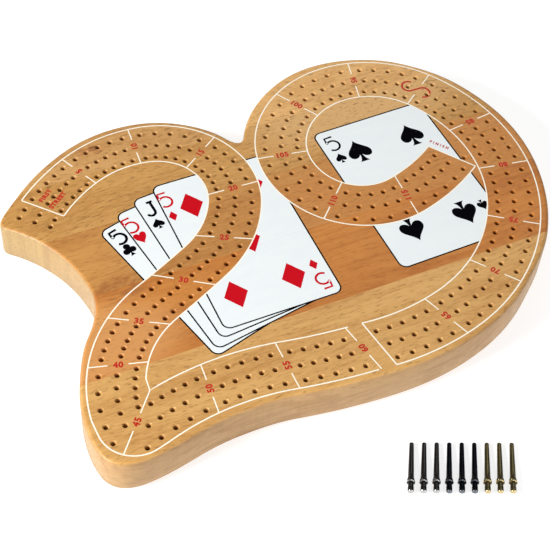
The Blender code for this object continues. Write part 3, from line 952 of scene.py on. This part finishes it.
# ---- fittings underneath -----------------------
COVER_CORNER = 7.0
COVER_EDGE = 0.35
EYE_RADIUS = 2.05
SCREW_RADIUS = 1.75
SCREW_HEAD_RADIUS = 4.2
SCREW_HEAD_HEIGHT = 1.3
SCREW_HEAD_ROUND = 0.6
SCREW_SLOT = (1.0, 0.7)     # width and depth
SCREW_SHOULDER = 1.8
SCREW_POINT = 2.0
THREAD_DEPTH = 0.25
THREAD_PITCH = 1.4
FOOT_ROUND = 0.8
FOOT_DISH = 0.25            # depth of the hollow inside the ring that a foot stands on


def at_box(name):
    """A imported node's size in millimetres, and a function from millimetres about the middle of
    its lowest face to metres in the frame."""
    low, high = (Vector(corner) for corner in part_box(name))
    base = Vector(((low.x + high.x) / 2, (low.y + high.y) / 2, low.z))
    return (high - low) / MM, lambda x, y, z: base + Vector((x, y, z)) * MM


def turned(profile, sides):
    """A mesh from (radius, height) points turned round Z; a zero radius closes the end."""
    bm = bmesh.new()
    rings = []
    for radius, height in profile:
        if radius:
            rings.append([bm.verts.new((*p, height)) for p in circle((0, 0), radius, sides)])
        else:
            rings.append([bm.verts.new((0, 0, height))] * sides)
    for low, high in zip(rings, rings[1:]):
        for i in range(sides):
            j = (i + 1) % sides
            corners = []
            for v in (low[i], low[j], high[j], high[i]):
                if v not in corners:
                    corners.append(v)
            bm.faces.new(corners).smooth = True
    bmesh.ops.recalc_face_normals(bm, faces=bm.faces)
    return bm


def round_off(centre, radius, first, last, steps=5):
    """Points of a quarter round in a profile, between two angles."""
    angles = [math.radians(first + (last - first) * i / steps) for i in range(steps + 1)]
    return [(centre[0] + radius * math.cos(a), centre[1] + radius * math.sin(a)) for a in angles]


def build_cover():
    """The pocket's sliding lid: a thin plate with eased edges and an eye for the screw."""
    size, place = at_box("pocket_cover")
    swivel = next(joint for joint in frame["record"]["behaviour"]["joints"]
                  if joint["name"] == "cover_swivel")
    eye = ((Vector(swivel["pos_m"]) - place(0, 0, 0)) / MM).xy
    levels = [(COVER_EDGE, 0.0), (COVER_EDGE * 0.3, COVER_EDGE * 0.3), (0.0, COVER_EDGE)]
    levels += [(shrink, size.z - z) for shrink, z in levels[::-1]]
    bm = bmesh.new()
    rings, eyes = [], []
    for shrink, z in levels:
        corner = (size.x / 2 - shrink, size.y / 2 - shrink)
        outer = rounded_box((-corner[0], -corner[1]), corner, COVER_CORNER - shrink)
        rings.append([bm.verts.new((*p, z)) for p in outer])
        eyes.append([bm.verts.new((*p, z)) for p in circle(eye, EYE_RADIUS + shrink * 0.6, 32)])
    for stack in (rings, eyes):
        for near, far in zip(stack, stack[1:]):
            band(bm, near, far)
    fill(bm, (rings[0], eyes[0]))
    fill(bm, (rings[-1], eyes[-1]))
    bmesh.ops.recalc_face_normals(bm, faces=bm.faces)
    steel = metal("steel_cover", (0.44, 0.44, 0.43), (0.36, 0.355, 0.34), 0.28, (12.0, 3000.0, 3000.0))
    finish_piece("pocket_cover", "_plate", bm, "cover", [steel], place)


def build_screw():
    """The pivot screw, head down: slotted round head, plain shoulder and a cut thread."""
    size, place = at_box("pivot_screw")
    head = round_off((SCREW_HEAD_RADIUS - SCREW_HEAD_ROUND, SCREW_HEAD_ROUND), SCREW_HEAD_ROUND,
                     -90, 0)
    profile = [(0.0, 0.0)] + head + [(SCREW_HEAD_RADIUS, SCREW_HEAD_HEIGHT),
                                     (SCREW_RADIUS, SCREW_HEAD_HEIGHT)]
    height = SCREW_HEAD_HEIGHT + SCREW_SHOULDER
    while height < size.z - SCREW_POINT - 0.5:
        profile += [(SCREW_RADIUS, height), (SCREW_RADIUS - THREAD_DEPTH, height + THREAD_PITCH / 2)]
        height += THREAD_PITCH
    profile += [(SCREW_RADIUS, size.z - SCREW_POINT), (0.0, size.z)]
    cutter = bmesh.new()
    bmesh.ops.create_cube(cutter, size=1.0)
    bmesh.ops.scale(cutter, vec=(3 * SCREW_HEAD_RADIUS, SCREW_SLOT[0], 2 * SCREW_SLOT[1]),
                    verts=cutter.verts)
    bm = cut_away(turned(profile, 40), cutter)
    steel = metal("steel_screw", (0.36, 0.36, 0.35), (0.28, 0.275, 0.27), 0.3, (900.0, 900.0, 3000.0))
    finish_piece("pivot_screw", "_turned", bm, "board", [steel], place)


def cut_away(bm, cutter):
    """The first mesh less the second, as a new bmesh; both are freed."""
    things = []
    for source in (bm, cutter):
        mesh = bpy.data.meshes.new("cutting")
        source.to_mesh(mesh)
        source.free()
        things.append(add("cutting", mesh))
    modifier = things[0].modifiers.new("cut", 'BOOLEAN')
    modifier.operation = 'DIFFERENCE'
    modifier.solver = 'EXACT'
    modifier.object = things[1]
    made = bmesh.new()
    made.from_object(things[0], bpy.context.evaluated_depsgraph_get())
    for thing in things:
        mesh = thing.data
        bpy.data.objects.remove(thing)
        bpy.data.meshes.remove(mesh)
    return made


def build_feet():
    made = rubber("rubber_feet")
    for name in [node for node in SLOTS if SLOTS[node] == "rubber"]:
        size, place = at_box(name)
        radius = size.x / 2
        profile = [(0.0, FOOT_DISH), (radius - 2.6, FOOT_DISH), (radius - 2.3, 0.0),
                   (radius - 1.4, 0.0)]
        profile += round_off((radius - 0.6 - FOOT_ROUND * 0.6, FOOT_ROUND), FOOT_ROUND, -60, -10)
        profile += [(radius - 0.15, size.z * 0.7), (radius, size.z), (0.0, size.z)]
        finish_piece(name, "_rubber", turned(profile, 48), "board", [made], place)


# ---- pegs --------------------------------------
PEG_LENGTH = 36.7
PEG_HEADING = 60.8        # from head to tip, degrees from +X
PEG_TIP = (1.45, 1.0)     # radius and height of the ring that the tip rests on
PEG_COLLAR = (2.8, 29.3)  # and of the collar's edge
PEG_HIGHLIGHT_BAND = (28.98, 30.1)  # heights of the band round the collar, painted as a highlight
# Above this height the head's end is painted as a highlight.
PEG_HIGHLIGHT_CAP = 35.6
PEG_SIDES = 36


def peg_profile():
    """Tapered shank, bead, collar, neck and rounded head, from the tip."""
    points = [(0.0, 0.0)] + round_off((0.65, 0.8), 0.78, -80, -10) + [PEG_TIP]
    points += [(1.53, 5.0), (1.62, 10.5), (1.8, 18.5), (2.0, 26.6), (2.12, 26.8)]
    points += round_off((1.4, 27.9), 1.0, -70, 55, 7)
    points += [(2.15, 28.95), (2.6, 29.05), PEG_COLLAR, (2.8, 29.85), (2.6, 30.05), (1.95, 30.2)]
    points += [(1.87, 30.5), (1.83, 31.6), (1.85, 32.9), (1.93, 33.2), (1.95, 33.5)]
    points += [(1.95, 34.0), (1.87, 34.15), (1.87, 34.35), (1.95, 34.5)]
    points += round_off((1.35, 36.1), 0.6, 0, 90, 6) + [(0.0, PEG_LENGTH)]
    return points


def build_pegs():
    """Nine turned pegs lying on their tips and collars, heads towards the front."""
    finishes = {}
    # Each finish has its plated metal and a brighter copy, which is a painted highlight on the collar
    # band and the head's end.
    for slot, plated, painted_highlight in (
            ("peg_silver", (0.032, 0.032, 0.034), (0.52, 0.51, 0.50)),
            ("peg_black", (0.005, 0.006, 0.009), (0.17, 0.18, 0.20)),
            ("peg_brass", (0.105, 0.088, 0.042), (0.66, 0.52, 0.27))):
        worn = tuple(c * 1.9 + 0.004 for c in plated)
        dull = tuple(c * 0.7 for c in painted_highlight)
        finishes[slot] = [metal(slot + "_plated", plated, worn, 0.14, (500.0, 500.0, 2500.0)),
                          metal(slot + "_polished", painted_highlight, dull, 0.1, (900.0, 900.0, 900.0))]
    slope = math.asin((PEG_COLLAR[0] - PEG_TIP[0]) / (PEG_COLLAR[1] - PEG_TIP[1]))
    heading = math.radians(PEG_HEADING)
    axis = Vector((-math.cos(heading) * math.cos(slope), -math.sin(heading) * math.cos(slope),
                   math.sin(slope)))
    turn_down = Vector((0, 0, 1)).rotation_difference(axis).to_matrix()
    for name in [node for node in SLOTS if SLOTS[node] in finishes]:
        size, place = at_box(name)
        bm = turned(peg_profile(), PEG_SIDES)
        for face in bm.faces:
            height = face.calc_center_median().z
            # Faces round the collar and on the head's end get the brighter copy, a painted highlight.
            face.material_index = int(height > PEG_HIGHLIGHT_CAP or PEG_HIGHLIGHT_BAND[0] < height < PEG_HIGHLIGHT_BAND[1])
        bmesh.ops.rotate(bm, verts=bm.verts, matrix=turn_down, cent=(0, 0, 0))
        low = [min(v.co[k] for v in bm.verts) for k in range(3)]
        high = [max(v.co[k] for v in bm.verts) for k in range(3)]
        middle = Vector(((low[0] + high[0]) / 2, (low[1] + high[1]) / 2, low[2]))
        fit = min(size[k] / (high[k] - low[k]) for k in range(3))
        bmesh.ops.translate(bm, verts=bm.verts, vec=-middle)
        bmesh.ops.scale(bm, verts=bm.verts, vec=(fit, fit, fit))
        finish_piece(name, "_turned", bm, name, finishes[SLOTS[name]], place)


# ---- camera, light and floor -------------------
CAMERA_PLACE = (-302.1, -551.8, 757.7)
CAMERA_AZIMUTH = 334.3
CAMERA_ELEVATION = 49.22
CAMERA_ROLL = 2.88
CAMERA_LENS = 91.87
CAMERA_SHIFT = (0.0519, -0.0984)
FLOOR_SIZE = 8.0
FLOOR_GLOW = 0.74
# Name, place and size in metres, and power of each lamp.
LAMPS = (("key", (-1.6, -0.1, 0.95), 0.5, 48.0), ("front", (0.5, -1.5, 0.5), 1.0, 11.0),
         ("back", (1.0, 1.0, 1.6), 1.5, 8.0))
WORLD_STRENGTH = 0.25


def build_camera():
    data = bpy.data.cameras.new("camera")
    camera = add("camera", data)
    data.sensor_width = 36.0
    data.lens = CAMERA_LENS
    data.shift_x, data.shift_y = CAMERA_SHIFT
    data.clip_end = 20.0
    camera.matrix_world = Matrix.Translation(world(*CAMERA_PLACE)) \
        @ Matrix.Rotation(math.radians(CAMERA_AZIMUTH), 4, 'Z') \
        @ Matrix.Rotation(math.radians(90 - CAMERA_ELEVATION), 4, 'X') \
        @ Matrix.Rotation(math.radians(CAMERA_ROLL), 4, 'Z')
    bpy.context.scene.camera = camera
    bpy.context.scene.view_settings.view_transform = 'Standard'


def build_floor():
    """A pale paper floor that glows a little, so that it stays light round the board."""
    bm = bmesh.new()
    bmesh.ops.create_grid(bm, x_segments=8, y_segments=8, size=FLOOR_SIZE / 2)
    mesh = bpy.data.meshes.new("floor")
    bm.to_mesh(mesh)
    bm.free()
    floor = add("floor", mesh)
    paper = Shader("paper")
    grain = paper.noise(paper.place((60.0, 60.0, 60.0)), detail=3.0)
    shade = paper.mix(grain, (0.44, 0.44, 0.44), (0.47, 0.47, 0.47))
    mesh.materials.append(paper.set(Base_Color=shade, Roughness=0.9, Specular_IOR_Level=0.1,
                                    Emission_Color=(1.0, 1.0, 1.0), Emission_Strength=FLOOR_GLOW))


def build_lights():
    studio = bpy.data.worlds.new("studio")
    studio.use_nodes = True
    background = studio.node_tree.nodes["Background"]
    background.inputs["Color"].default_value = (1.0, 1.0, 1.0, 1.0)
    background.inputs["Strength"].default_value = WORLD_STRENGTH
    bpy.context.scene.world = studio
    for name, place, size, power in LAMPS:
        lamp = bpy.data.lights.new(name, 'AREA')
        lamp.size = size
        lamp.energy = power
        thing = add(name, lamp)
        thing.location = place
        thing.rotation_euler = Vector(place).to_track_quat('Z', 'Y').to_euler()


build_staves()
build_cover()
build_screw()
build_feet()
build_pegs()
build_camera()
build_floor()
build_lights()
